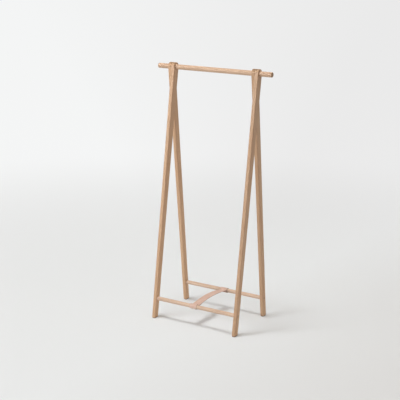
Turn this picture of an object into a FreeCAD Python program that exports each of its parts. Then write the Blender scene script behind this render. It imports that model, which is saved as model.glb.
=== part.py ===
import FreeCAD, Part
import math
import os

# Folding clothes rack in ash: two leg frames that swing about one hanging rod.
# X runs along the rod, the front is at -Y, Z is up, and the origin is on the floor under the middle.
# All sizes are in millimetres and degrees.

# Hanging rod
rod_height = 1524.0
rod_diameter = 30.0
rod_length = 768.0
rod_end_round = 3.0

# Legs, in two pairs that lie side by side on the rod
stub_length = 80.0
leg_width = 21.5
head_wall = 9.5
head_crown = 1.5
head_arris = 1.5
foot_depth = 38.0
foot_arris = 4.0
foot_spread = 399.0
foot_edge_round = 2.5
pad_thickness = 3.0

# Lower rails, let into the legs at full size and then tenoned through
rail_height = 121.0
rail_diameter = 24.0
socket_depth = 6.0
tenon_shoulder = 4.0

# Pivot on the rod
pivot_clearance = 0.05
washer_thickness = 0.6
washer_rim = 7.0
washer_clearance = 0.1

# Pins in the heads
lock_pin_diameter = 6.0
lock_pin_bite = 9.0
keeper_pin_diameter = 5.0
keeper_groove_depth = 4.0
keeper_side_clearance = 0.3
keeper_tip_clearance = 0.4
pin_recess = 0.5

# Leather strap, looped round both rails
strap_width = 48.0
strap_thickness = 2.0
strap_rise_angle = 9.0
strap_rail_clearance = 0.2
loop_throat = 7.7
lap_length = 30.0

# Screws that hold the strap's loops to the rails
screw_spacing = 24.0
screw_shank_diameter = 3.5
screw_length = 16.0
screw_head_diameter = 8.0
screw_head_height = 2.4
screw_head_round = 1.2
screw_slot_width = 1.2
screw_slot_depth = 1.0
screw_clearance = 0.3

# Values that follow from the sizes above
rod_radius = rod_diameter / 2
head_depth = rod_diameter + 2 * head_wall
head_radius = head_depth / 2 + head_crown
pair_spacing = rod_length - 2 * (stub_length + leg_width + washer_thickness / 2)
rail_radius = rail_diameter / 2
tenon_radius = rail_radius - tenon_shoulder
slope = foot_spread / 2 / rod_height
rail_offset = (rod_height - rail_height) * slope
loop_radius = rail_radius + strap_rail_clearance
screw_seat = rail_height - loop_radius - strap_thickness - screw_clearance
same_height = 1e-4

X_AXIS = FreeCAD.Vector(1, 0, 0)
Y_AXIS = FreeCAD.Vector(0, 1, 0)
Z_AXIS = FreeCAD.Vector(0, 0, 1)


def bar(radius, x_start, x_end, y, z):
    """A round bar along X."""
    return Part.makeCylinder(radius, x_end - x_start, FreeCAD.Vector(x_start, y, z), X_AXIS)


def block(x_range, y_range, z_range):
    """A box between the given limits."""
    corner = FreeCAD.Vector(x_range[0], y_range[0], z_range[0])
    return Part.makeBox(x_range[1] - x_range[0], y_range[1] - y_range[0], z_range[1] - z_range[0], corner)


def rounded_rectangle(width, depth, radius, centre):
    """A closed outline in a level plane, with its four corners rounded."""
    corners = []
    for turn, (x_sign, y_sign) in enumerate(((1, 1), (-1, 1), (-1, -1), (1, -1))):
        inset = FreeCAD.Vector(x_sign * (width / 2 - radius), y_sign * (depth / 2 - radius), 0)
        points = []
        for quarters in (turn, turn + 0.5, turn + 1):
            angle = quarters * math.pi / 2
            points.append(centre + inset + FreeCAD.Vector(math.cos(angle), math.sin(angle), 0) * radius)
        corners.append(points)
    outline = []
    for points, following in zip(corners, corners[1:] + corners[:1]):
        outline.append(Part.Arc(*points).toShape())
        outline.append(Part.makeLine(points[-1], following[0]))
    return Part.Wire(outline)


def leg_section(side, centre_x, z):
    """A leg's level outline at a height: deep and crisp at the head, slim and soft at the foot."""
    share = (rod_height - z) / rod_height
    depth = head_depth + (foot_depth - head_depth) * share
    arris = head_arris + (foot_arris - head_arris) * share
    centre = FreeCAD.Vector(centre_x, side * (rod_height - z) * slope, z)
    return rounded_rectangle(leg_width, depth, arris, centre)


def leg_blank(side, centre_x):
    """A tapered, leaning leg with a domed head: side is -1 for the front frame and 1 for the rear."""
    top = rod_height + head_radius
    sections = [leg_section(side, centre_x, z) for z in (pad_thickness, top)]
    leg = Part.makeLoft(sections, True, True)
    x_range = (centre_x - leg_width, centre_x + leg_width)
    above_rod = block(x_range, (-head_depth, head_depth), (rod_height, top + head_radius))
    leg = leg.cut(above_rod.cut(bar(head_radius, *x_range, 0, rod_height))).removeSplitter()
    return leg.makeFillet(foot_edge_round, level_edges(leg, pad_thickness))


def level_edges(shape, z):
    """The edges of a shape that lie in one level plane."""
    found = []
    for edge in shape.Edges:
        if max(abs(edge.BoundBox.ZMin - z), abs(edge.BoundBox.ZMax - z)) < same_height:
            found.append(edge)
    return found


def round_edges(shape):
    """The full circles among the edges of a round bar."""
    return [edge for edge in shape.Edges if isinstance(edge.Curve, Part.Circle)]


def head_pin(centre_x, radius, start, end):
    """A round pin into a leg's head from the back, between two distances from the rod's centre."""
    return Part.makeCylinder(radius, end - start, FreeCAD.Vector(centre_x, start, rod_height), Y_AXIS)


def strap_end_outline():
    """Half of the strap's side profile, seen along X: its loop, its lap and its span up to the middle."""
    inner = loop_radius
    outer = inner + strap_thickness
    rise = math.radians(strap_rise_angle)
    loop_reach = inner + loop_throat
    meet = math.acos(inner / loop_reach)
    lap_end = loop_reach + lap_length
    flare = (outer - strap_thickness * math.sin(meet)) / math.cos(meet)

    def at(along, across):
        turned_y = along * math.cos(rise) - across * math.sin(rise)
        turned_z = along * math.sin(rise) + across * math.cos(rise)
        return FreeCAD.Vector(0, turned_y - rail_offset, turned_z + rail_height)

    def on_circle(radius, angle):
        return at(radius * math.cos(angle), radius * math.sin(angle))

    def arch(across):
        start = at(lap_end, across)
        radius = -start.y / math.sin(rise)
        centre = FreeCAD.Vector(0, 0, start.z - radius * math.cos(rise))
        middle = centre + FreeCAD.Vector(0, -math.sin(rise / 2), math.cos(rise / 2)) * radius
        top = centre + FreeCAD.Vector(0, 0, radius)
        return start, middle, top

    upper_start, upper_middle, upper_top = arch(strap_thickness)
    lower_start, lower_middle, lower_top = arch(0.0)
    outside = [
        Part.Arc(on_circle(outer, meet), on_circle(outer, math.pi), on_circle(outer, -meet)).toShape(),
        Part.makeLine(on_circle(outer, -meet), at(flare, -strap_thickness)),
        Part.makeLine(at(flare, -strap_thickness), at(lap_end, -strap_thickness)),
        Part.makeLine(at(lap_end, -strap_thickness), lower_start),
        Part.Arc(lower_start, lower_middle, lower_top).toShape(),
        Part.makeLine(lower_top, upper_top),
        Part.Arc(upper_top, upper_middle, upper_start).toShape(),
        Part.makeLine(upper_start, at(flare, strap_thickness)),
        Part.makeLine(at(flare, strap_thickness), on_circle(outer, meet)),
    ]
    inside = [
        Part.Arc(on_circle(inner, meet), on_circle(inner, math.pi), on_circle(inner, -meet)).toShape(),
        Part.makeLine(on_circle(inner, -meet), at(loop_reach, 0)),
        Part.makeLine(at(loop_reach, 0), on_circle(inner, meet)),
    ]
    return Part.Wire(outside), Part.Wire(inside)


def strap_blank():
    """The whole strap without its screw holes: two equal halves joined at the middle of the span."""
    outside, inside = strap_end_outline()
    across = X_AXIS * strap_width
    half = Part.Face(outside).extrude(across).cut(Part.Face(inside).extrude(across))
    half.translate(X_AXIS * (-strap_width / 2))
    other = half.mirror(FreeCAD.Vector(0, 0, 0), Y_AXIS)
    return half.fuse(other).removeSplitter()


def strap_screw(x, y):
    """A slotted screw driven up into the underside of a rail, through the strap's loop."""
    seat = FreeCAD.Vector(x, y, screw_seat)
    bottom = screw_seat - screw_head_height
    half_head = screw_head_diameter / 2
    half_slot = screw_slot_width / 2
    head = Part.makeCylinder(half_head, screw_head_height, seat, -Z_AXIS)
    head = head.makeFillet(screw_head_round, level_edges(head, bottom))
    slot_x = (x - half_head, x + half_head)
    slot_y = (y - half_slot, y + half_slot)
    head = head.cut(block(slot_x, slot_y, (bottom, bottom + screw_slot_depth)))
    shank = Part.makeCylinder(screw_shank_diameter / 2, screw_length, seat, Z_AXIS)
    return head.fuse(shank).removeSplitter()


def screw_hole(x, y, radius):
    """A hole up through the strap's loop or a rail, as deep as a strap screw reaches."""
    return Part.makeCylinder(radius, screw_length, FreeCAD.Vector(x, y, screw_seat), Z_AXIS)


# Where each leg stands: in both pairs the front leg is on the +X side of the rear leg.
leg_shift = (washer_thickness + leg_width) / 2
legs = {
    "front_left": (-1, -pair_spacing / 2 + leg_shift),
    "front_right": (-1, pair_spacing / 2 + leg_shift),
    "rear_left": (1, -pair_spacing / 2 - leg_shift),
    "rear_right": (1, pair_spacing / 2 - leg_shift),
}
parts = {}

# Hanging rod, grooved for the keeper pins and drilled for the lock pins
rod = bar(rod_radius, -rod_length / 2, rod_length / 2, 0, rod_height)
rod = rod.makeFillet(rod_end_round, round_edges(rod))
groove_half = keeper_pin_diameter / 2 + keeper_side_clearance
groove_radius = rod_radius - keeper_groove_depth
pin_face = head_depth / 2 - pin_recess
lock_tip = rod_radius - lock_pin_bite
for name, (side, centre_x) in legs.items():
    if side < 0:
        band = (centre_x - groove_half, centre_x + groove_half)
        ring = bar(rod_diameter, *band, 0, rod_height).cut(bar(groove_radius, *band, 0, rod_height))
        rod = rod.cut(ring)
    else:
        rod = rod.cut(head_pin(centre_x, lock_pin_diameter / 2, lock_tip, rod_diameter))
parts["hanging_rod"] = rod

# Legs, with the rod's bore, the rail's socket and tenon hole, and a pin hole from the back of the head
for name, (side, centre_x) in legs.items():
    turns_on_rod = side < 0
    is_left = centre_x < 0
    bore_radius = rod_radius + pivot_clearance if turns_on_rod else rod_radius
    pin_radius = (keeper_pin_diameter if turns_on_rod else lock_pin_diameter) / 2
    through = (centre_x - leg_width, centre_x + leg_width)
    socket_end = leg_width / 2 - socket_depth
    socket = (centre_x + socket_end, through[1]) if is_left else (through[0], centre_x - socket_end)
    leg = leg_blank(side, centre_x)
    leg = leg.cut(bar(bore_radius, *through, 0, rod_height))
    leg = leg.cut(bar(rail_radius, *socket, side * rail_offset, rail_height))
    leg = leg.cut(bar(tenon_radius, *through, side * rail_offset, rail_height))
    leg = leg.cut(head_pin(centre_x, pin_radius, 0, head_depth))
    parts[name + "_leg"] = leg

# Pins: the rear ones lock the rod, the front ones run in its grooves
for name, (side, centre_x) in legs.items():
    hand = "left" if centre_x < 0 else "right"
    if side < 0:
        tip = groove_radius + keeper_tip_clearance
        parts[hand + "_keeper_pin"] = head_pin(centre_x, keeper_pin_diameter / 2, tip, pin_face)
    else:
        parts[hand + "_lock_pin"] = head_pin(centre_x, lock_pin_diameter / 2, lock_tip, pin_face)

# Washers between the two heads of each pair
for hand, sign in (("left", -1), ("right", 1)):
    faces = (sign * pair_spacing / 2 - washer_thickness / 2, sign * pair_spacing / 2 + washer_thickness / 2)
    bore_radius = rod_radius + washer_clearance
    disc = bar(bore_radius + washer_rim, *faces, 0, rod_height)
    parts[hand + "_pivot_washer"] = disc.cut(bar(bore_radius, *faces, 0, rod_height))

# Rails with their tenons, the strap round them and the screws under them
strap = strap_blank()
for frame, side in (("front", -1), ("rear", 1)):
    y = side * rail_offset
    left_x = legs[frame + "_left"][1]
    right_x = legs[frame + "_right"][1]
    body_ends = (left_x + leg_width / 2 - socket_depth, right_x - leg_width / 2 + socket_depth)
    tenon_ends = (left_x - leg_width / 2, right_x + leg_width / 2)
    rail = bar(rail_radius, *body_ends, y, rail_height)
    rail = rail.fuse(bar(tenon_radius, *tenon_ends, y, rail_height)).removeSplitter()
    screws = []
    for x in (-screw_spacing / 2, screw_spacing / 2):
        rail = rail.cut(screw_hole(x, y, screw_shank_diameter / 2))
        strap = strap.cut(screw_hole(x, y, screw_shank_diameter / 2 + screw_clearance))
        screws.append(strap_screw(x, y))
    parts[frame + "_rail"] = rail
    parts[frame + "_strap_screws"] = Part.makeCompound(screws)
parts["spreader_strap"] = strap

# Pads under the flat of each foot
pad_width = leg_width - 2 * foot_edge_round
pad_depth = foot_depth - 2 * foot_edge_round
pad_corner = foot_arris - foot_edge_round
for name, (side, centre_x) in legs.items():
    centre = FreeCAD.Vector(centre_x, side * (rod_height - pad_thickness) * slope, 0)
    outline = rounded_rectangle(pad_width, pad_depth, pad_corner, centre)
    parts[name + "_foot_pad"] = Part.Face(outline).extrude(Z_AXIS * pad_thickness)

os.makedirs("parts", exist_ok=True)
for name, shape in parts.items():
    if not shape.isValid():
        raise ValueError(name + " is not a valid solid")
    print(name, len(shape.Solids), round(shape.Volume, 1))
    shape.exportStep("parts/" + name + ".step")
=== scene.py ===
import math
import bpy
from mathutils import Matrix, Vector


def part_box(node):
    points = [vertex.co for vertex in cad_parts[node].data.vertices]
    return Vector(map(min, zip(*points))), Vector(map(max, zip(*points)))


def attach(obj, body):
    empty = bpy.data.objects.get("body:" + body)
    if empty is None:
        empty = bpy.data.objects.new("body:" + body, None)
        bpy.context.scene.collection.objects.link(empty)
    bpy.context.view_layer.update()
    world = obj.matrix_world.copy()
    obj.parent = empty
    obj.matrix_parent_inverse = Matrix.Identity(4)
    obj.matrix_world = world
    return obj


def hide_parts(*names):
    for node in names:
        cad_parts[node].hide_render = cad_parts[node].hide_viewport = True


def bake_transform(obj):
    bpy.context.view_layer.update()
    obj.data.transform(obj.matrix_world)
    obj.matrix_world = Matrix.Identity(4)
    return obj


bl_info = {
    "name": "Folding clothes rack",
    "version": (1, 0, 0),
    "blender": (4, 5, 0),
    "location": "View3D > Sidebar > Clothes rack",
    "description": "Models the ash, leather and fittings of a folding clothes rack on its CAD frame",
    "category": "Object",
}

import bmesh
import bpy
from bpy.props import FloatProperty, FloatVectorProperty, PointerProperty
from mathutils import Matrix, Vector

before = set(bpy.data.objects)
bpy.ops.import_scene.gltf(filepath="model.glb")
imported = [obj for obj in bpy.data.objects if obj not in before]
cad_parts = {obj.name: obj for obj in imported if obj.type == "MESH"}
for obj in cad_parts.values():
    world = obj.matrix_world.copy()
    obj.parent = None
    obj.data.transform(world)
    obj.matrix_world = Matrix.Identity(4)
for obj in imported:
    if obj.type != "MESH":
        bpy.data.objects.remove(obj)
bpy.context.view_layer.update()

# The side of the rod on which a foot or a rail lies, -1 for the front, and how light each leg's board is:
# set leg by leg to the light on it, painted shade on the right pair and painted light on the rear left leg
LEGS = {
    "front_left_leg": (-1, 1.0),
    "front_right_leg": (-1, 0.86),
    "rear_left_leg": (1, 1.06),
    "rear_right_leg": (1, 0.88),
}
RAILS = {"front_rail": -1, "rear_rail": 1}
BODIES = {-1: "front_frame", 1: "rear_frame"}
HANDS = ("left", "right")

# Where the wood grew, measured from the tree's middle: the legs of each side, and the rod and rails
LEG_IN_TREE = {-1: (0.46, 0.31, 0.0), 1: (0.52, -0.27, 0.4)}
BAR_IN_TREE = (0.21, 0.34, 0.0)

# Places and sizes from the frame
rod_low, rod_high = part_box("hanging_rod")
rail_low, rail_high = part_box("rear_rail")
strap_low, strap_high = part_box("spreader_strap")
leg_low, leg_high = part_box("rear_left_leg")
ROD_HEIGHT = (rod_low.z + rod_high.z) / 2
ROD_RADIUS = (rod_high.z - rod_low.z) / 2
RAIL_HEIGHT = (rail_low.z + rail_high.z) / 2
RAIL_RADIUS = (rail_high.z - rail_low.z) / 2
RAIL_OFFSET = (rail_low.y + rail_high.y) / 2
LEAN = RAIL_OFFSET / (ROD_HEIGHT - RAIL_HEIGHT)
LEG_WIDTH = leg_high.x - leg_low.x
STRAP_WIDTH = strap_high.x - strap_low.x

# Modelling
HAIR = 0.00002  # How far a cutter passes a face, so that the two don't share a plane
SAME_PLACE = 0.00001  # Places nearer to each other than this count as one
CRISP = 1.0  # Two faces meet at a crisp edge when they turn by more than this, in radians
OUTWARD = 0.9  # A face looks along an axis when more than this share of its normal does
DOME_SIDES = 128  # Flat sides that stand for a round
ROD_SIDES = 96
RAIL_SIDES = 64
PIN_SIDES = 32

# Shader nodes: settings that repeat, and the sockets of a node that mixes two colours
MIX = {"data_type": "RGBA"}
TINT = {"data_type": "RGBA", "blend_type": "MULTIPLY"}
EASED = {"interpolation_type": "SMOOTHSTEP"}
SHARE = 0
FIRST = 6
SECOND = 7
MIXED = 2
WAVE_LENGTH = math.tau / 20  # One wave of a wave texture at scale 1

# Studio
FILL = 0.525  # Strength of the light from all round
CAMERA_AZIMUTH = math.radians(31.287)
CAMERA_RIGHT = Vector((math.cos(CAMERA_AZIMUTH), math.sin(CAMERA_AZIMUTH), 0.0))
CAMERA_NEAR = Vector((math.sin(CAMERA_AZIMUTH), -math.cos(CAMERA_AZIMUTH), 0.0))


def hex_linear(code):
    """An sRGB hex colour as linear red, green, blue and alpha."""
    channels = []
    for start in (1, 3, 5):
        value = int(code[start : start + 2], 16) / 255
        if value <= 0.04045:
            channels.append(value / 12.92)
        else:
            channels.append(((value + 0.055) / 1.055) ** 2.4)
    return (*channels, 1.0)


def size(name, description, default):
    """A length that a user may change."""
    return FloatProperty(
        name=name, description=description, default=default, min=0.0, unit="LENGTH", precision=5
    )


def angle(name, description, degrees):
    """An angle that a user may change."""
    return FloatProperty(name=name, description=description, default=math.radians(degrees), subtype="ANGLE")


def colour(name, description, code):
    """A colour that a user may change."""
    return FloatVectorProperty(
        name=name, description=description, default=hex_linear(code), size=4, min=0, max=1, subtype="COLOR"
    )


class RackSizes(bpy.types.PropertyGroup):
    """Sizes of the rack's pieces"""

    head_depth: size("Head depth", "Depth of a leg at the rod, front to back", 0.049)
    head_radius: size("Head dome", "Radius of the domed head about the rod", leg_high.z - ROD_HEIGHT)
    head_arris: size("Head arris", "Rounding of a leg's long edges at the rod", 0.0015)
    head_rim: size("Head rim", "Rounding of the dome's edge", 0.0012)
    foot_depth: size("Foot depth", "Depth of a leg at the floor, front to back", 0.038)
    foot_arris: size("Foot arris", "Rounding of a leg's long edges at the floor", 0.004)
    foot_round: size("Foot round", "Rounding of the foot's lower edge", 0.0025)
    bore_flare: size("Bore flare", "Chamfer where the rod enters a head", 0.0005)
    joint_gap: size("Joint gap", "Fine gap round the rod, tenons and pins", 0.0001)
    rod_end_round: size("Rod end round", "Rounding of the rod's ends", 0.003)
    socket_depth: size("Socket depth", "How deep a rail sits in a leg at full size", 0.006)
    tenon_radius: size("Tenon radius", "Radius of the rail's through tenon", 0.008)
    tenon_round: size("Tenon round", "Softened edge of a tenon's end", 0.0004)
    lock_pin_radius: size("Lock pin radius", "Radius of the pins in the rear heads", 0.003)
    keeper_pin_radius: size("Keeper pin radius", "Radius of the pins in the front heads", 0.0025)
    strap_thickness: size("Strap thickness", "Thickness of the leather", 0.002)
    strap_rail_gap: size("Strap to rail", "Fine gap where the loop bears on a rail", 0.0002)
    strap_slack: size("Loop slack", "How much wider than the rail a loop is, on its radius", 0.0008)
    strap_throat: size("Loop throat", "How far the loop's point stands off the rail", 0.0077)
    strap_bend: size("Loop bend", "Length of the bend on each side of the loop's point", 0.0045)
    strap_lap: size("Lap", "Length of the sewn lap", 0.03)
    strap_edge: size("Strap edge", "Rounding of the leather's cut edges", 0.0006)
    strap_rise: angle("Strap rise", "Slope at which the strap leaves a rail", 9)
    stitch_length: size("Stitch", "Length of one stitch", 0.004)
    stitch_pitch: size("Stitch pitch", "Distance from stitch to stitch", 0.0055)
    stitch_margin: size("Seam margin", "Distance from the seam to the edges of the lap", 0.0045)
    stitch_slant: angle("Stitch slant", "How far a stitch turns out of the seam's line", 8)
    thread_radius: size("Thread radius", "Half the thickness of the thread", 0.0005)


class RackColours(bpy.types.PropertyGroup):
    """Colours of the rack and of the studio"""

    latewood: colour("Latewood", "Pale, dense part of each growth ring", "#ccac8d")
    earlywood: colour("Earlywood", "Darker, open part of each growth ring", "#b9916e")
    pores: colour("Pores", "Open pores along the grain", "#906b4e")
    rod_latewood: colour("Rod latewood", "Pale part of the rings in the rod", "#cbae93")
    rod_earlywood: colour("Rod earlywood", "Darker part of the rings in the rod", "#bc997d")
    rail_latewood: colour("Rail latewood", "Pale part of the rings in the rails", "#d0b7a1")
    rail_earlywood: colour("Rail earlywood", "Darker part of the rings in the rails", "#c1a38c")
    end_grain: colour("End grain", "Tint where the wood is cut across", "#cbc4b4")
    leather: colour("Leather", "Face of the strap", "#cfb2a3")
    leather_dark: colour("Leather shade", "Darker clouds in the leather", "#c4a393")
    leather_edge: colour("Leather edge", "Cut edge of the span", "#7a5a48")
    # The loop rim's near-black is painted shade of the gap between each loop and its rail
    loop_edge_painted_shade: colour("Loop rim", "Cut edge of a loop, painted dark as the shade of the gap round the rail", "#1e110b")
    thread: colour("Thread", "Waxed sewing thread", "#dcc3a6")
    steel: colour("Steel", "Screws and keeper pins", "#a3a099")
    nylon: colour("Nylon", "Washers between the heads", "#dbd1bd")
    felt: colour("Felt", "Pads under the feet", "#3b332e")
    felt_light: colour("Felt fibres", "Paler fibres in the felt", "#5d524a")
    floor: colour("Floor", "Studio paper under the rack", "#e1e7eb")
    floor_dim: colour("Dim floor", "Studio paper where less light falls", "#d2d5d7")
    floor_far: colour("Far floor", "Studio paper far away, where its glow takes over", "#222222")
    fill: colour("Fill light", "Light from all round", "#fff3e8")
    background: colour("Background", "What the camera sees behind the floor", "#f3f4f4")
    background_dim: colour("Dim background", "The background where less light falls", "#e9e9e9")


# Modelling helpers

def clear_selection():
    """Deselect every object, so that an operator acts on the next piece alone."""
    bpy.ops.object.select_all(action="DESELECT")


def make_active(piece):
    """Select one piece and nothing else."""
    clear_selection()
    piece.select_set(True)
    bpy.context.view_layer.objects.active = piece


def settle(name):
    """Name the active piece and put its place into its mesh."""
    piece = bpy.context.object
    piece.name = name
    piece.data.name = name
    bpy.ops.object.transform_apply(location=True, rotation=True, scale=True)
    return piece


def edit_mode():
    """Open the active piece's mesh for shaping."""
    bpy.ops.object.mode_set(mode="EDIT")


def object_mode():
    """Close the mesh again."""
    bpy.ops.object.mode_set(mode="OBJECT")


def pick(piece, kind, test):
    """In edit mode, select the vertices, edges or faces that pass a test, and stop if none does."""
    bpy.ops.mesh.select_mode(type=kind)
    bpy.ops.mesh.select_all(action="DESELECT")
    shape = bmesh.from_edit_mesh(piece.data)
    shape.normal_update()
    parts = {"VERT": shape.verts, "EDGE": shape.edges, "FACE": shape.faces}[kind]
    found = [part for part in parts if test(part)]
    for part in found:
        part.select_set(True)
    shape.select_flush_mode()
    bmesh.update_edit_mesh(piece.data)
    if not found:
        raise RuntimeError("nothing to select on " + piece.name)


def pick_all():
    """In edit mode, select everything."""
    bpy.ops.mesh.select_all(action="SELECT")


def is_crisp(edge):
    """Whether an edge's two faces meet at a corner. An open edge doesn't count."""
    return edge.calc_face_angle(0.0) > CRISP


def pick_end(piece, sign):
    """In edit mode, select the face at the left end of a bar, for -1, or at its right end."""
    pick(piece, "FACE", lambda face: face.normal.x * sign > OUTWARD)


def pick_level(piece, z):
    """In edit mode, select the edges that lie at a height."""
    pick(piece, "EDGE", lambda edge: max(abs(vert.co.z - z) for vert in edge.verts) < SAME_PLACE)


def face_outwards():
    """In edit mode, turn every face outwards."""
    pick_all()
    bpy.ops.mesh.normals_make_consistent(inside=False)


def draw_out(move):
    """In edit mode, extrude what is selected and move it."""
    bpy.ops.mesh.extrude_region_move(TRANSFORM_OT_translate={"value": move})


def round_edges(radius, segments):
    """In edit mode, round the selected edges."""
    bpy.ops.mesh.bevel(offset=radius, segments=segments, profile=0.5, affect="EDGES", clamp_overlap=False)


def soften(piece, radius, segments):
    """Round every crisp edge of the active piece."""
    edit_mode()
    pick(piece, "EDGE", is_crisp)
    round_edges(radius, segments)
    object_mode()


def cut_away(piece, cutter):
    """Cut one piece out of another and throw the cutter away."""
    make_active(piece)
    bpy.ops.object.modifier_add(type="BOOLEAN")
    cut = piece.modifiers[-1]
    cut.operation = "DIFFERENCE"
    cut.solver = "EXACT"
    cut.object = cutter
    bpy.ops.object.modifier_apply(modifier=cut.name)
    bpy.data.objects.remove(cutter, do_unlink=True)


def bar_along_x(name, radius, x_start, x_end, y, z, sides):
    """A round bar along X, as a start for a rod, a rail or a drill."""
    clear_selection()
    bpy.ops.mesh.primitive_cylinder_add(
        vertices=sides,
        radius=radius,
        depth=x_end - x_start,
        location=((x_start + x_end) / 2, y, z),
        rotation=(0.0, math.pi / 2, 0.0),
    )
    return settle(name)


def pin_along_y(name, radius, x, y_start, y_end):
    """A round pin along Y at the rod's height, as a start for a pin or its drill."""
    clear_selection()
    bpy.ops.mesh.primitive_cylinder_add(
        vertices=PIN_SIDES,
        radius=radius,
        depth=y_end - y_start,
        location=(x, (y_start + y_end) / 2, ROD_HEIGHT),
        rotation=(math.pi / 2, 0.0, 0.0),
    )
    return settle(name)


def smooth(piece, degrees):
    """Smooth the rounded parts, keep the edges that turn by more, and keep broad flat faces flat."""
    make_active(piece)
    bpy.ops.object.shade_smooth_by_angle(angle=math.radians(degrees))
    bpy.ops.object.modifier_add(type="WEIGHTED_NORMAL")
    weighted = piece.modifiers[-1]
    weighted.keep_sharp = True
    bpy.ops.object.modifier_apply(modifier=weighted.name)


def dress(piece, material, slot, body, *nodes):
    """Give a finished piece its material and its body, and hide the CAD nodes that it stands for."""
    piece.data.materials.clear()
    piece.data.materials.append(material)
    if nodes:
        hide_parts(*nodes)
    if body:
        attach(piece, body)


def repaint(node, material):
    """Give a CAD node that stays its material."""
    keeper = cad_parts[node]
    if not keeper.material_slots:
        keeper.data.materials.append(material)
    for slot in keeper.material_slots:
        slot.material = material


# Materials

def fill_inputs(tree, node, inputs):
    """Fill a node's inputs with values or with other nodes' outputs."""
    for key, value in inputs.items():
        if isinstance(value, bpy.types.NodeSocket):
            tree.links.new(value, node.inputs[key])
        else:
            node.inputs[key].default_value = value


def add_node(tree, kind, inputs=None, **settings):
    """Add a shader node with its own settings, and fill its inputs."""
    node = tree.nodes.new("ShaderNode" + kind)
    for name, value in settings.items():
        setattr(node, name, value)
    fill_inputs(tree, node, inputs or {})
    return node


def start_material(name):
    """A node material with its coordinates and its Principled surface, and nothing between them yet."""
    material = bpy.data.materials.new(name)
    material.use_nodes = True
    tree = material.node_tree
    tree.nodes.clear()
    place = add_node(tree, "TexCoord")
    surface = add_node(tree, "BsdfPrincipled")
    add_node(tree, "OutputMaterial", {"Surface": surface.outputs["BSDF"]})
    return material, tree, place, surface


def per_metre(millimetres):
    """How many times a pattern of that size fits in a metre."""
    return 1000.0 / millimetres


def streaks(across, along):
    """The scale of a streaky pattern, from its size in millimetres across the streaks and along them."""
    return (per_metre(across), per_metre(across), per_metre(along))


def bent_grain(tree, grain):
    """The grain with slow waves, 60 mm across and 500 mm along, which shift it by up to 9 mm."""
    wave_place = add_node(tree, "Mapping", {"Vector": grain, "Scale": streaks(60, 500)})
    wave = add_node(tree, "TexNoise", {"Vector": wave_place.outputs[0], "Scale": 1.0, "Detail": 3.0})
    shift = 0.009
    bent = add_node(
        tree,
        "VectorMath",
        {0: wave.outputs["Color"], 1: (shift, shift, 0.0), 2: grain},
        operation="MULTIPLY_ADD",
    )
    return bent.outputs[0]


def ring_starts(tree, bent):
    """Growth rings 3 mm wide: 1 where each begins, dark and open, and 0 in its paler outer part."""
    ring_width = 0.003
    rings = add_node(
        tree,
        "TexWave",
        {"Vector": bent, "Scale": WAVE_LENGTH / ring_width, "Distortion": 0.0},
        wave_type="RINGS",
        rings_direction="Z",
        wave_profile="SAW",
    )
    early = add_node(
        tree,
        "MapRange",
        {"Value": rings.outputs["Fac"], "From Min": 0.0, "From Max": 0.55, "To Min": 1.0, "To Max": 0.0},
        **EASED,
    )
    return early.outputs["Result"]


def open_pores(tree, bent, early):
    """Pores where the rings begin, 0.1 mm wide in the wood, drawn 0.6 mm by 18 mm so that they show."""
    pore_place = add_node(tree, "Mapping", {"Vector": bent, "Scale": streaks(0.6, 18)})
    pore_noise = add_node(tree, "TexNoise", {"Vector": pore_place.outputs[0], "Scale": 1.0, "Detail": 1.0})
    pore = add_node(
        tree, "MapRange", {"Value": pore_noise.outputs["Fac"], "From Min": 0.52, "From Max": 0.68}, **EASED
    )
    open_pore = add_node(tree, "Math", {0: pore.outputs["Result"], 1: early}, operation="MULTIPLY")
    return open_pore.outputs[0]


def board_tone(tree, grain):
    """A slow change of tone along the board, over about 300 mm."""
    tone_place = add_node(tree, "Mapping", {"Vector": grain, "Scale": streaks(40, 300)})
    tone_noise = add_node(tree, "TexNoise", {"Vector": tone_place.outputs[0], "Scale": 1.0, "Detail": 2.0})
    swing = {"From Min": 0.3, "From Max": 0.7, "To Min": 0.25, "To Max": 0.6}
    tone = add_node(tree, "MapRange", {"Value": tone_noise.outputs["Fac"], **swing})
    return tone.outputs["Result"]


def cut_ends(tree, normal, along):
    """1 where the wood is cut across its grain, and 0 where it is cut along it."""
    facing = add_node(tree, "VectorMath", {0: normal, 1: along}, operation="DOT_PRODUCT")
    either_end = add_node(tree, "Math", {0: facing.outputs["Value"]}, operation="ABSOLUTE")
    cut_end = add_node(
        tree, "MapRange", {"Value": either_end.outputs[0], "From Min": 0.35, "From Max": 0.9}, **EASED
    )
    return cut_end.outputs["Result"]


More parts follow.
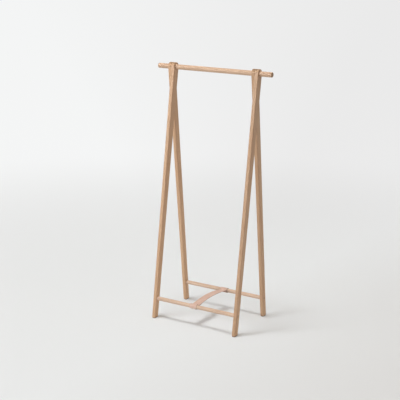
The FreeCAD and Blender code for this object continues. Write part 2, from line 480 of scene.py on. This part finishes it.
def oiled_ash(name, colours, latewood, earlywood, turn, in_tree, along):
    """Ash, planed, sanded and oiled.

    The eye gets straight, open grain in fine darker lines, a satin sheen and darker cut ends.
    turn brings the grain to Z, in_tree is where the piece grew, measured from the tree's middle, and along
    is the grain's direction.
    """
    material, tree, place, surface = start_material(name)
    grain = add_node(
        tree, "Mapping", {"Vector": place.outputs["Object"], "Rotation": turn, "Location": in_tree}
    )
    bent = bent_grain(tree, grain.outputs[0])
    early = ring_starts(tree, bent)
    pores = open_pores(tree, bent, early)

    # The rings, on the board's slow tone, and the pores in them
    early_share = add_node(
        tree,
        "Math",
        {0: early, 1: 0.45, 2: board_tone(tree, grain.outputs[0])},
        operation="MULTIPLY_ADD",
        use_clamp=True,
    )
    ringed = add_node(
        tree, "Mix", {SHARE: early_share.outputs[0], FIRST: latewood, SECOND: earlywood}, **MIX
    )
    pore_share = add_node(tree, "Math", {0: pores, 1: 0.7}, operation="MULTIPLY")
    grained = add_node(
        tree,
        "Mix",
        {SHARE: pore_share.outputs[0], FIRST: ringed.outputs[MIXED], SECOND: colours.pores},
        **MIX,
    )

    # Wood cut across the grain drinks oil and darkens
    cut_end = cut_ends(tree, place.outputs["Normal"], along)
    ended = add_node(
        tree, "Mix", {SHARE: cut_end, FIRST: grained.outputs[MIXED], SECOND: colours.end_grain}, **TINT
    )

    # Oil fills the dense wood and leaves the pores dull
    dullness = add_node(tree, "MapRange", {"Value": pores, "To Min": 0.5, "To Max": 0.68})
    bump = add_node(tree, "Bump", {"Height": pores, "Strength": 0.35, "Distance": 0.0002}, invert=True)
    finish = {
        "Base Color": ended.outputs[MIXED],
        "Roughness": dullness.outputs["Result"],
        "IOR": 1.47,
        "Normal": bump.outputs["Normal"],
    }
    fill_inputs(tree, surface, finish)
    return material


def leg_ash(colours, node, side, tone):
    """The ash of one leg, cut from its own board with the grain along its lean."""
    name = "Oiled ash " + node.replace("_", " ")
    lean = math.atan(LEAN)
    turn = (-side * lean, 0.0, 0.0)
    along = (0.0, -side * math.sin(lean), math.cos(lean))
    # tone scales this leg's wood colour: painted shade on the right legs, painted light on the rear left
    # leg
    latewood, earlywood = (
        [channel * tone for channel in wood[:3]] + [1.0] for wood in (colours.latewood, colours.earlywood)
    )
    return oiled_ash(name, colours, latewood, earlywood, turn, LEG_IN_TREE[side], along)


def bar_ash(name, colours, latewood, earlywood):
    """The ash of the rod or of the rails, with the grain along X."""
    turn = (0.0, -math.pi / 2, 0.0)
    along = (1.0, 0.0, 0.0)
    return oiled_ash(name, colours, latewood, earlywood, turn, BAR_IN_TREE, along)


def rod_ash(colours):
    """The ash of the rod and the lock pins, made the first time that it is asked for."""
    name = "Oiled ash rod"
    made = bpy.data.materials.get(name)
    return made or bar_ash(name, colours, colours.rod_latewood, colours.rod_earlywood)


def rail_ash(colours):
    """The ash of the rails."""
    return bar_ash("Oiled ash rails", colours, colours.rail_latewood, colours.rail_earlywood)


def natural_leather(colours):
    """Cowhide, vegetable tanned and undyed, with raw cut edges.

    The eye gets a matte pinkish tan with soft clouds, a fine pebble of pores and darker, duller edges; the
    near-black edges of the loops are painted shade.
    """
    material, tree, place, surface = start_material("Vegetable tanned leather")
    flat = add_node(tree, "Mapping", {"Vector": place.outputs["Object"]})

    # Clouds about 22 mm across
    cloud_noise = add_node(
        tree, "TexNoise", {"Vector": flat.outputs[0], "Scale": per_metre(22), "Detail": 4.0}
    )
    cloud = add_node(
        tree, "MapRange", {"Value": cloud_noise.outputs["Fac"], "From Min": 0.35, "From Max": 0.7}
    )
    face = add_node(
        tree,
        "Mix",
        {SHARE: cloud.outputs["Result"], FIRST: colours.leather, SECOND: colours.leather_dark},
        **MIX,
    )

    # The cut edge is darker than the face. On the loops it is near black, painted shade for the gap between
    # each loop and its rail
    parts = add_node(tree, "SeparateXYZ", {"Vector": flat.outputs[0]})
    out_from_middle = add_node(tree, "Math", {0: parts.outputs["Y"]}, operation="ABSOLUTE")
    loop_shade_starts = RAIL_OFFSET - 0.04
    loop_shade_full = RAIL_OFFSET - 0.018
    loop_shade_share = add_node(
        tree,
        "MapRange",
        {"Value": out_from_middle.outputs[0], "From Min": loop_shade_starts, "From Max": loop_shade_full},
        **EASED,
    )
    rim = add_node(
        tree,
        "Mix",
        {SHARE: loop_shade_share.outputs["Result"], FIRST: colours.leather_edge, SECOND: colours.loop_edge_painted_shade},
        **MIX,
    )
    across = add_node(tree, "Math", {0: parts.outputs["X"]}, operation="ABSOLUTE")
    edge_starts = STRAP_WIDTH / 2 - 0.0009
    edge_full = STRAP_WIDTH / 2 - 0.0001
    edge = add_node(
        tree,
        "MapRange",
        {"Value": across.outputs[0], "From Min": edge_starts, "From Max": edge_full},
        **EASED,
    )
    edged = add_node(
        tree,
        "Mix",
        {SHARE: edge.outputs["Result"], FIRST: face.outputs[MIXED], SECOND: rim.outputs[MIXED]},
        **MIX,
    )
    dullness = add_node(
        tree, "MapRange", {"Value": edge.outputs["Result"], "To Min": 0.62, "To Max": 0.78}
    )

    # Pores 0.3 mm apart on the hide, drawn 1.1 mm apart so that they show
    pebble = add_node(
        tree,
        "TexVoronoi",
        {"Vector": flat.outputs[0], "Scale": per_metre(1.1)},
        feature="DISTANCE_TO_EDGE",
    )
    bump = add_node(
        tree, "Bump", {"Height": pebble.outputs["Distance"], "Strength": 0.3, "Distance": 0.0003}
    )
    finish = {
        "Base Color": edged.outputs[MIXED],
        "Roughness": dullness.outputs["Result"],
        "IOR": 1.5,
        "Normal": bump.outputs["Normal"],
    }
    fill_inputs(tree, surface, finish)
    return material


def waxed_thread(colours):
    """Linen thread, twisted and waxed: pale, slightly glossy, with a fine twist."""
    material, tree, place, surface = start_material("Waxed linen thread")
    # The twist lies askew to every stitch, and turns once in 1.2 mm
    askew = (0.6, 0.3, 0.8)
    twist_length = 0.0012
    flat = add_node(tree, "Mapping", {"Vector": place.outputs["Object"], "Rotation": askew})
    twist = add_node(
        tree,
        "TexWave",
        {"Vector": flat.outputs[0], "Scale": WAVE_LENGTH / twist_length, "Distortion": 0.0},
        wave_type="BANDS",
    )
    shade = add_node(
        tree, "Mix", {SHARE: 0.35, FIRST: colours.thread, SECOND: twist.outputs["Color"]}, **TINT
    )
    fill_inputs(tree, surface, {"Base Color": shade.outputs[MIXED], "Roughness": 0.5})
    return material


def bright_steel(colours):
    """Steel, turned and zinc plated: grey metal with fine turning marks that blur its highlights."""
    material, tree, place, surface = start_material("Zinc plated steel")
    # Turning marks 0.05 mm apart, drawn 0.4 mm apart so that they show
    marks_place = add_node(tree, "Mapping", {"Vector": place.outputs["Object"], "Scale": streaks(0.4, 4)})
    marks = add_node(tree, "TexNoise", {"Vector": marks_place.outputs[0], "Scale": 1.0, "Detail": 2.0})
    blur = add_node(tree, "MapRange", {"Value": marks.outputs["Fac"], "To Min": 0.25, "To Max": 0.5})
    finish = {"Base Color": colours.steel, "Metallic": 1.0, "Roughness": blur.outputs["Result"]}
    fill_inputs(tree, surface, finish)
    return material


def cut_nylon(colours):
    """Nylon sheet, punched: waxy off-white with a soft sheen and faint mottling."""
    material, tree, place, surface = start_material("Punched nylon")
    flat = add_node(tree, "Mapping", {"Vector": place.outputs["Object"]})
    # Mottling about 3 mm across
    mottle = add_node(tree, "TexNoise", {"Vector": flat.outputs[0], "Scale": per_metre(3), "Detail": 2.0})
    shade = add_node(
        tree, "Mix", {SHARE: 0.12, FIRST: colours.nylon, SECOND: mottle.outputs["Color"]}, **TINT
    )
    fill_inputs(tree, surface, {"Base Color": shade.outputs[MIXED], "Roughness": 0.42, "IOR": 1.53})
    return material


def wool_felt(colours):
    """Wool felt, pressed and dyed dark: no gloss, a soft fuzz of paler fibres."""
    material, tree, place, surface = start_material("Pressed wool felt")
    flat = add_node(tree, "Mapping", {"Vector": place.outputs["Object"]})
    # Fibres 0.03 mm thick, drawn as tufts 0.7 mm across so that they show
    fibres = add_node(
        tree, "TexNoise", {"Vector": flat.outputs[0], "Scale": per_metre(0.7), "Detail": 3.0}
    )
    shade = add_node(
        tree, "Mix", {SHARE: fibres.outputs["Fac"], FIRST: colours.felt, SECOND: colours.felt_light}, **MIX
    )
    bump = add_node(tree, "Bump", {"Height": fibres.outputs["Fac"], "Strength": 0.6, "Distance": 0.0005})
    finish = {
        "Base Color": shade.outputs[MIXED],
        "Roughness": 0.95,
        "Sheen Weight": 0.3,
        "Normal": bump.outputs["Normal"],
    }
    fill_inputs(tree, surface, finish)
    return material


# Legs

def leg_outline(sizes, low, high, side, z):
    """In edit mode, add a leg's level outline at a height and round its four corners."""
    share = (ROD_HEIGHT - z) / ROD_HEIGHT
    depth = sizes.head_depth + (sizes.foot_depth - sizes.head_depth) * share
    arris = sizes.head_arris + (sizes.foot_arris - sizes.head_arris) * share
    centre = ((low.x + high.x) / 2, side * (ROD_HEIGHT - z) * LEAN, z)
    bpy.ops.mesh.primitive_plane_add(size=1.0, location=centre)
    bpy.ops.transform.resize(value=(high.x - low.x, depth, 1.0), center_override=centre)
    bpy.ops.mesh.bevel(offset=arris, offset_type="OFFSET", segments=8, profile=0.5, affect="VERTICES")


def leg_blank(sizes, node, side):
    """A rounded bar, lofted from the foot to above the head, with a softened lower edge."""
    low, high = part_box(node)
    clear_selection()
    bpy.ops.mesh.primitive_plane_add()
    leg = settle(node + "_wood")
    edit_mode()
    bpy.ops.mesh.delete(type="VERT")

    # The blank stands higher than the dome that is cut from it
    top = ROD_HEIGHT + sizes.head_radius * 1.2
    for z in (low.z, top):
        leg_outline(sizes, low, high, side, z)
    pick_all()
    bpy.ops.mesh.delete(type="ONLY_FACE")
    pick_all()
    bpy.ops.mesh.bridge_edge_loops(number_cuts=12, interpolation="LINEAR")
    for z in (low.z, top):
        pick_level(leg, z)
        bpy.ops.mesh.edge_face_add()
    face_outwards()
    pick_level(leg, low.z)
    round_edges(sizes.foot_round, segments=8)
    object_mode()
    return leg


def dome_cutter(sizes, x_start, x_end):
    """A block above the rod with a soft-edged barrel taken out of it, which leaves a domed head."""
    reach = sizes.head_radius * 2
    clear_selection()
    bpy.ops.mesh.primitive_cube_add(
        size=1.0,
        location=((x_start + x_end) / 2, 0.0, ROD_HEIGHT + reach / 2),
        scale=((x_end - x_start) * 2, reach * 2, reach),
    )
    block = settle("cutter")
    barrel = bar_along_x(
        "barrel", sizes.head_radius, x_start - HAIR, x_end + HAIR, 0.0, ROD_HEIGHT, DOME_SIDES
    )
    soften(barrel, sizes.head_rim, segments=8)
    cut_away(block, barrel)
    return block


def rod_drill(sizes, x_start, x_end):
    """A drill for the rod that breaks out of both faces of a head with a chamfer."""
    radius = ROD_RADIUS + sizes.joint_gap
    flare = sizes.bore_flare
    grown = (radius + flare * 2) / radius
    drill = bar_along_x("drill", radius, x_start + flare, x_end - flare, 0.0, ROD_HEIGHT, ROD_SIDES)
    edit_mode()
    for sign, face_x in ((-1, x_start), (1, x_end)):
        mouth = (face_x + sign * flare, 0.0, ROD_HEIGHT)
        pick_end(drill, sign)
        draw_out((sign * flare * 2, 0.0, 0.0))
        bpy.ops.transform.resize(value=(1.0, grown, grown), center_override=mouth)
    object_mode()
    return drill


def model_leg(sizes, node, side):
    """One leg: its blank, domed over the rod and drilled for the rod, the rail and the head's pin."""
    low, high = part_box(node)
    centre_x = (low.x + high.x) / 2
    leg = leg_blank(sizes, node, side)
    cut_away(leg, dome_cutter(sizes, low.x, high.x))
    cut_away(leg, rod_drill(sizes, low.x, high.x))

    # The rail's socket is in the leg's inner face, and its tenon passes through
    gap = sizes.joint_gap
    past = LEG_WIDTH / 4  # How far a drill passes the leg's faces
    rail_y = side * RAIL_OFFSET
    if centre_x < 0:
        socket = (high.x - sizes.socket_depth, high.x + past)
    else:
        socket = (low.x - past, low.x + sizes.socket_depth)
    through = (low.x - past, high.x + past)
    for radius, reach in ((RAIL_RADIUS, socket), (sizes.tenon_radius, through)):
        cut_away(leg, bar_along_x("drill", radius + gap, *reach, rail_y, RAIL_HEIGHT, RAIL_SIDES))
    pin_radius = sizes.keeper_pin_radius if side < 0 else sizes.lock_pin_radius
    cut_away(leg, pin_along_y("drill", pin_radius + gap, centre_x, 0.0, sizes.head_depth))
    smooth(leg, degrees=16)
    return leg


class RACK_OT_legs(bpy.types.Operator):
    """Model the four tapered legs with their domed heads"""

    bl_idname = "rack.legs"
    bl_label = "Legs"

    def execute(self, context):
        for node, (side, tone) in LEGS.items():
            leg = model_leg(context.scene.rack_sizes, node, side)
            ash = leg_ash(context.scene.rack_colours, node, side, tone)
            dress(leg, ash, "ash", BODIES[side], node)
        return {"FINISHED"}


# Rod and rails

class RACK_OT_rod(bpy.types.Operator):
    """Model the round hanging rod with its softened ends"""

    bl_idname = "rack.rod"
    bl_label = "Hanging rod"

    def execute(self, context):
        sizes = context.scene.rack_sizes
        rod = bar_along_x(
            "hanging_rod_wood", ROD_RADIUS, rod_low.x, rod_high.x, 0.0, ROD_HEIGHT, ROD_SIDES
        )
        soften(rod, sizes.rod_end_round, segments=6)
        smooth(rod, degrees=30)
        dress(rod, rod_ash(context.scene.rack_colours), "ash", "rear_frame", "hanging_rod")
        return {"FINISHED"}


def model_rail(sizes, node, side):
    """One rail: a round bar with a tenon drawn out of each end."""
    low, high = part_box(node)
    tenon = LEG_WIDTH - sizes.socket_depth
    body = (low.x + tenon, high.x - tenon)
    rail = bar_along_x(node + "_wood", RAIL_RADIUS, *body, side * RAIL_OFFSET, RAIL_HEIGHT, RAIL_SIDES)
    edit_mode()
    for sign in (-1, 1):
        pick_end(rail, sign)
        bpy.ops.mesh.inset(thickness=RAIL_RADIUS - sizes.tenon_radius)
        draw_out((sign * tenon, 0.0, 0.0))

    def at_tenon_end(edge):
        x = (edge.verts[0].co.x + edge.verts[1].co.x) / 2
        return min(abs(x - low.x), abs(x - high.x)) < SAME_PLACE

    pick(rail, "EDGE", lambda edge: is_crisp(edge) and at_tenon_end(edge))
    round_edges(sizes.tenon_round, segments=3)
    object_mode()
    smooth(rail, degrees=30)
    return rail


class RACK_OT_rails(bpy.types.Operator):
    """Model the two lower rails with their through tenons"""

    bl_idname = "rack.rails"
    bl_label = "Rails"

    def execute(self, context):
        ash = rail_ash(context.scene.rack_colours)
        for node, side in RAILS.items():
            rail = model_rail(context.scene.rack_sizes, node, side)
            dress(rail, ash, "ash", BODIES[side], node)
        return {"FINISHED"}


# Strap

def lap_place(sizes, along, across):
    """A point of the front loop, by its distances along the lap from the rail and across the lap."""
    rise = sizes.strap_rise
    y = along * math.cos(rise) - across * math.sin(rise)
    z = along * math.sin(rise) + across * math.cos(rise)
    return Vector((0.0, y - RAIL_OFFSET, z + RAIL_HEIGHT))


def lap_reach(sizes):
    """Distances from the rail's middle to the loop's point and to the end of the lap."""
    point = RAIL_RADIUS + sizes.strap_rail_gap + sizes.strap_throat
    return point, point + sizes.strap_lap


def loop_route(sizes):
    """The leather's middle from the tail, along the lap, round the rail and back along the lap."""
    half = sizes.strap_thickness / 2
    slack = sizes.strap_slack
    inner = RAIL_RADIUS + sizes.strap_rail_gap + slack
    point, lap_end = (reach - slack for reach in lap_reach(sizes))

    # The leather leaves the round at the angle meet, runs straight to the throat and bends into the lap
    meet = math.acos(inner / point)
    radius = inner + half
    throat = (radius - half * math.sin(meet)) / math.cos(meet)
    lap_start = throat + sizes.strap_bend
    steps = 6
    turns = 40

    def rounded_corner(sign):
        corner = Vector((throat, sign * half))
        flat = Vector((lap_start, sign * half))
        tangent = Vector((radius * math.cos(meet), sign * radius * math.sin(meet)))
        slope = corner + (tangent - corner).normalized() * sizes.strap_bend
        shares = [step / steps for step in range(steps + 1)]
        return [flat * (1 - t) ** 2 + corner * 2 * t * (1 - t) + slope * t**2 for t in shares]

    lap = [lap_end + (lap_start - lap_end) * step / steps for step in range(steps)]
    route = [(along, -half) for along in lap]
    route += rounded_corner(-1)
    for step in range(turns + 1):
        about = -meet - (2 * math.pi - 2 * meet) * step / turns
        route.append((radius * math.cos(about), radius * math.sin(about)))
    route += reversed(rounded_corner(1))
    route += [(along, half) for along in reversed(lap)]
    return [lap_place(sizes, along + slack, across) for along, across in route]


def strap_route(sizes):
    """The leather's middle: the front loop, the arch of the span, and the rear loop."""
    front = loop_route(sizes)
    start = front[-1]
    arch = -start.y / math.sin(sizes.strap_rise)
    centre_z = start.z - arch * math.cos(sizes.strap_rise)
    spans = 16
    for step in range(1, spans + 1):
        about = -sizes.strap_rise * (1 - step / spans)
        front.append(Vector((0.0, arch * math.sin(about), centre_z + arch * math.cos(about))))
    rear = [Vector((0.0, -place.y, place.z)) for place in reversed(front[:-1])]
    return front + rear


def draw_band(name, width, route):
    """A flat band, its width along X, drawn edge by edge along its route."""
    clear_selection()
    bpy.ops.mesh.primitive_plane_add(size=width, location=route[0])
    band = settle(name)

    # Keep one edge of the plane, at the start of the route
    edit_mode()
    pick(band, "VERT", lambda vert: vert.co.y > route[0].y)
    bpy.ops.mesh.delete(type="VERT")
    pick_all()
    bpy.ops.transform.translate(value=(0.0, width / 2, 0.0))
    for place, following in zip(route, route[1:]):
        draw_out(following - place)
    object_mode()
    return band


def bend_with_fold(piece):
    """Put the piece's place and turn into its mesh."""
    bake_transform(piece)


class RACK_OT_strap(bpy.types.Operator):
    """Model the leather strap that is looped round both rails"""

    bl_idname = "rack.strap"
    bl_label = "Leather strap"

    def execute(self, context):
        sizes = context.scene.rack_sizes
        strap = draw_band("spreader_strap_leather", STRAP_WIDTH, strap_route(sizes))

        # Give it the leather's thickness and soften its cut edges
        bpy.ops.object.modifier_add(type="SOLIDIFY")
        wall = strap.modifiers[-1]
        wall.thickness = sizes.strap_thickness
        wall.offset = 0.0
        wall.use_even_offset = True
        bpy.ops.object.modifier_apply(modifier=wall.name)
        edit_mode()
        face_outwards()
        object_mode()
        soften(strap, sizes.strap_edge, segments=4)
        smooth(strap, degrees=40)
        leather = natural_leather(context.scene.rack_colours)
        dress(strap, leather, "strap_leather", None, "spreader_strap")
        bend_with_fold(strap)
        return {"FINISHED"}


def model_stitch(sizes):
    """One stitch: a short rounded length of thread along X."""
    radius = sizes.thread_radius
    clear_selection()
    bpy.ops.mesh.primitive_uv_sphere_add(
        segments=8, ring_count=6, radius=radius, rotation=(0.0, math.pi / 2, 0.0)
    )
    stitch = settle("strap_stitches")
    edit_mode()
    for sign in (-1, 1):
        pick(stitch, "VERT", lambda vert: vert.co.x * sign > SAME_PLACE)
        bpy.ops.transform.translate(value=(sign * (sizes.stitch_length / 2 - radius), 0.0, 0.0))
    object_mode()
    return stitch


def even_places(start, end, pitch):
    """Evenly spaced places between two ends, about one pitch apart."""
    count = round((end - start) / pitch)
    return [start + (end - start) * (step + 0.5) / count for step in range(count)]


def seam_spots(sizes):
    """Where the stitches lie on a lap, and how they turn: two rows across the band and two along it."""
    point, lap_end = lap_reach(sizes)
    rows = (point + sizes.stitch_margin, lap_end - sizes.stitch_margin)
    side_x = STRAP_WIDTH / 2 - sizes.stitch_margin
    sides = (-side_x, side_x)
    spots = []
    for row in rows:
        spots += [(x, row, 0.0) for x in even_places(*sides, sizes.stitch_pitch)]
    for x in sides:
        spots += [(x, along, math.pi / 2) for along in even_places(*rows, sizes.stitch_pitch)]
    return spots


class RACK_OT_stitches(bpy.types.Operator):
    """Sew a box of stitches through each lap of the strap"""

    bl_idname = "rack.stitches"
    bl_label = "Strap stitches"

    def execute(self, context):
        sizes = context.scene.rack_sizes
        stitch = model_stitch(sizes)
        copies = []
        for end in (-1, 1):
            tilt = Matrix.Rotation(-end * sizes.strap_rise, 4, "X")
            for face in (-1, 1):
                for x, along, turn in seam_spots(sizes):
                    make_active(stitch)
                    bpy.ops.object.duplicate()
                    copy = bpy.context.object
                    spot = lap_place(sizes, along, face * sizes.strap_thickness)
                    lie = Matrix.Rotation(turn + sizes.stitch_slant, 4, "Z")
                    copy.matrix_world = Matrix.Translation((x, -end * spot.y, spot.z)) @ tilt @ lie
                    copies.append(copy)
        bpy.data.objects.remove(stitch, do_unlink=True)

        # All stitches are one piece
        make_active(copies[0])
        for copy in copies:
            copy.select_set(True)
        bpy.ops.object.join()
        seam = settle("strap_stitches")
        smooth(seam, degrees=60)
        dress(seam, waxed_thread(context.scene.rack_colours), "strap_leather", None)
        bend_with_fold(seam)
        return {"FINISHED"}


# Small pieces

class RACK_OT_lock_pins(bpy.types.Operator):
    """Model the wooden pins in the rear heads, planed flush with the legs"""

    bl_idname = "rack.lock_pins"
    bl_label = "Lock pins"

    def execute(self, context):
        sizes = context.scene.rack_sizes
        radius = sizes.lock_pin_radius
        leg_face = sizes.head_depth / 2
        slope = LEAN + (sizes.foot_depth - sizes.head_depth) / 2 / ROD_HEIGHT
        for hand in HANDS:
            node = hand + "_lock_pin"
            low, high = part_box(node)
            pin = pin_along_y(node + "_wood", radius, (low.x + high.x) / 2, low.y, leg_face + radius)
            edit_mode()
            pick_all()
            bpy.ops.mesh.bisect(
                plane_co=(0.0, leg_face, ROD_HEIGHT),
                plane_no=(0.0, 1.0, slope),
                use_fill=True,
                clear_outer=True,
            )
            object_mode()
            smooth(pin, degrees=30)
            dress(pin, rod_ash(context.scene.rack_colours), "ash", "rear_frame", node)
        return {"FINISHED"}


class RACK_OT_fittings(bpy.types.Operator):
    """Finish the washers, the keeper pins and the strap screws"""

    bl_idname = "rack.fittings"
    bl_label = "Fittings"

    def execute(self, context):
        steel = bright_steel(context.scene.rack_colours)
        nylon = cut_nylon(context.scene.rack_colours)
        for hand in HANDS:
            repaint(hand + "_pivot_washer", nylon)
            repaint(hand + "_keeper_pin", steel)
        for end in ("front", "rear"):
            repaint(end + "_strap_screws", steel)
        return {"FINISHED"}


class RACK_OT_pads(bpy.types.Operator):
    """Finish the felt pads under the feet"""

    bl_idname = "rack.pads"
    bl_label = "Foot pads"

    def execute(self, context):
        felt = wool_felt(context.scene.rack_colours)
        for node in LEGS:
            repaint(node.replace("_leg", "_foot_pad"), felt)
        return {"FINISHED"}


# Studio

def backdrop_tone(tree, colours, direction):
    """The background's colour in a direction: it dims from left to right across the camera's view, painted
    shade where less light falls.
    """
    view_edge = 0.2
    across = add_node(tree, "VectorMath", {0: direction, 1: CAMERA_RIGHT}, operation="DOT_PRODUCT")
    dim = add_node(
        tree, "MapRange", {"Value": across.outputs["Value"], "From Min": -view_edge, "From Max": view_edge}
    )
    tone = add_node(
        tree,
        "Mix",
        {SHARE: dim.outputs["Result"], FIRST: colours.background, SECOND: colours.background_dim},
        **MIX,
    )
    return tone.outputs[MIXED]


def seen_share(tree):
    """1 for what the camera sees, straight, in a reflection or through a piece, and 0 for other light."""
    path = add_node(tree, "LightPath")
    seen = path.outputs["Is Camera Ray"]
    for ray in ("Is Glossy Ray", "Is Transmission Ray"):
        either = add_node(tree, "Math", {0: seen, 1: path.outputs[ray]}, operation="MAXIMUM")
        seen = either.outputs[0]
    return seen


def studio_paper(colours):
    """Seamless studio paper: matte and pale, with the background's own glow far from the rack."""
    material, tree, place, surface = start_material("Matte studio paper")
    flat = add_node(tree, "Mapping", {"Vector": place.outputs["Object"]})

    # It dims to the right and, less, to the front: painted shade where less light falls
    dimming = CAMERA_RIGHT * 0.82 + CAMERA_NEAR * 0.57
    dim_length = 1.8
    across = add_node(tree, "VectorMath", {0: flat.outputs[0], 1: dimming}, operation="DOT_PRODUCT")
    dim = add_node(tree, "MapRange", {"Value": across.outputs["Value"], "From Max": dim_length})
    paper = add_node(
        tree, "Mix", {SHARE: dim.outputs["Result"], FIRST: colours.floor, SECOND: colours.floor_dim}, **MIX
    )

    # Away from the rack it passes into the background, so that no edge shows
    fade_starts = 0.6
    fade_ends = 5.3
    away = add_node(tree, "VectorMath", {0: flat.outputs[0]}, operation="LENGTH")
    fade = add_node(
        tree,
        "MapRange",
        {"Value": away.outputs["Value"], "From Min": fade_starts, "From Max": fade_ends},
        **EASED,
    )
    lit = add_node(
        tree,
        "Mix",
        {SHARE: fade.outputs["Result"], FIRST: paper.outputs[MIXED], SECOND: colours.floor_far},
        **MIX,
    )
    bearing = add_node(tree, "VectorMath", {0: flat.outputs[0]}, operation="NORMALIZE")

    # What is seen there has the background's full tone, and the rack gets no more than the fill light
    tone = add_node(tree, "Math", {0: seen_share(tree), 1: 1.0 - FILL, 2: FILL}, operation="MULTIPLY_ADD")
    glow = add_node(tree, "Math", {0: tone.outputs[0], 1: fade.outputs["Result"]}, operation="MULTIPLY")
    finish = {
        "Base Color": lit.outputs[MIXED],
        "Roughness": 1.0,
        "Specular IOR Level": 0.0,
        "Emission Color": backdrop_tone(tree, colours, bearing.outputs[0]),
        "Emission Strength": glow.outputs[0],
    }
    fill_inputs(tree, surface, finish)
    return material


def lay_floor(colours):
    """A sheet of studio paper that reaches past the camera's view."""
    clear_selection()
    bpy.ops.mesh.primitive_plane_add(size=400.0)
    floor = settle("studio_floor")
    floor.data.materials.append(studio_paper(colours))


def soft_box(name, place, aim):
    """A rectangular studio light that faces a point."""
    clear_selection()
    bpy.ops.object.light_add(type="AREA", location=place)
    lamp = bpy.context.object
    lamp.name = name
    lamp.data.shape = "RECTANGLE"
    lamp.rotation_euler = (Vector(aim) - Vector(place)).to_track_quat("-Z", "Y").to_euler()
    return lamp.data


def shine(lamp, width, height, power, spread, tint):
    """A light's size and power, the angle to which its grid narrows the beam, and its tint."""
    lamp.size = width
    lamp.size_y = height
    lamp.energy = power
    lamp.spread = math.radians(spread)
    lamp.color = hex_linear(tint)[:3]


def hang_lights():
    """One light high above, a broad one in front on the left, and a weak one low on the right."""
    overhead = soft_box("overhead_light", (-1.1, -2.4, 14.0), (0.0, 0.0, 0.5))
    shine(overhead, width=3.8, height=3.8, power=830.0, spread=180, tint="#fffefc")
    front = soft_box("front_light", (-6.5, -8.8, 5.0), (0.0, 0.0, 2.6))
    shine(front, width=6.0, height=4.0, power=84.0, spread=45, tint="#f8fbff")
    side = soft_box("side_light", (7.0, -0.5, 0.9), (0.0, 0.0, 0.0))
    shine(side, width=5.0, height=1.6, power=4.5, spread=30, tint="#fff1e6")


def light_all_round(scene, colours):
    """A little light from all round, and a pale background for the camera."""
    scene.world = scene.world or bpy.data.worlds.new("Studio")
    scene.world.use_nodes = True
    tree = scene.world.node_tree
    tree.nodes.clear()
    fill = add_node(tree, "Background", {"Color": colours.fill, "Strength": FILL})
    place = add_node(tree, "TexCoord")
    sight = add_node(tree, "Mapping", {"Vector": place.outputs["Object"]})
    tone = backdrop_tone(tree, colours, sight.outputs[0])
    seen = add_node(tree, "Background", {"Color": tone, "Strength": 1.0})
    mixed = add_node(tree, "MixShader", {0: seen_share(tree), 1: fill.outputs[0], 2: seen.outputs[0]})
    add_node(tree, "OutputWorld", {"Surface": mixed.outputs[0]})


def place_camera(scene):
    """A camera to the right of the front and a little above, with a long lens."""
    elevation = math.radians(13.935)
    roll = 0.016155
    distance = 6.0671
    sideways = -0.0694
    aim = Vector((0.0, 0.0, 0.7416))
    back = CAMERA_NEAR * math.cos(elevation) + Vector((0.0, 0.0, math.sin(elevation)))
    up = CAMERA_RIGHT.cross(-back)
    stand = aim + back * distance + CAMERA_RIGHT * sideways
    turned_right = CAMERA_RIGHT * math.cos(roll) + up * math.sin(roll)
    turned_up = up * math.cos(roll) - CAMERA_RIGHT * math.sin(roll)
    clear_selection()
    bpy.ops.object.camera_add(location=stand)
    camera = bpy.context.object
    camera.name = "photo_camera"
    camera.data.lens = 90.77
    camera.data.sensor_width = 36.0
    turn = Matrix((turned_right, turned_up, back)).transposed()
    camera.matrix_world = Matrix.Translation(stand) @ turn.to_4x4()
    scene.camera = camera


class RACK_OT_stage(bpy.types.Operator):
    """Set the studio: the floor, the light and the camera"""

    bl_idname = "rack.stage"
    bl_label = "Studio"

    def execute(self, context):
        scene = context.scene
        lay_floor(scene.rack_colours)
        hang_lights()
        light_all_round(scene, scene.rack_colours)
        scene.view_settings.view_transform = "Standard"
        place_camera(scene)
        return {"FINISHED"}


OPERATORS = (
    RACK_OT_legs,
    RACK_OT_rod,
    RACK_OT_rails,
    RACK_OT_strap,
    RACK_OT_stitches,
    RACK_OT_lock_pins,
    RACK_OT_fittings,
    RACK_OT_pads,
    RACK_OT_stage,
)


class RACK_PT_panel(bpy.types.Panel):
    """The rack's operators, sizes and colours"""

    bl_label = "Clothes rack"
    bl_idname = "RACK_PT_panel"
    bl_space_type = "VIEW_3D"
    bl_region_type = "UI"
    bl_category = "Clothes rack"

    def draw(self, context):
        layout = self.layout
        for operator in OPERATORS:
            layout.operator(operator.bl_idname)
        for group in (context.scene.rack_sizes, context.scene.rack_colours):
            box = layout.box()
            for name in group.__annotations__:
                box.prop(group, name)


CLASSES = (RackSizes, RackColours, *OPERATORS, RACK_PT_panel)


def register():
    for cls in CLASSES:
        bpy.utils.register_class(cls)
    bpy.types.Scene.rack_sizes = PointerProperty(type=RackSizes)
    bpy.types.Scene.rack_colours = PointerProperty(type=RackColours)


def unregister():
    del bpy.types.Scene.rack_colours
    del bpy.types.Scene.rack_sizes
    for cls in reversed(CLASSES):
        bpy.utils.unregister_class(cls)


def main():
    register()
    bpy.ops.rack.legs()
    bpy.ops.rack.rod()
    bpy.ops.rack.rails()
    bpy.ops.rack.strap()
    bpy.ops.rack.stitches()
    bpy.ops.rack.lock_pins()
    bpy.ops.rack.fittings()
    bpy.ops.rack.pads()
    bpy.ops.rack.stage()


if __name__ == "__main__":
    main()
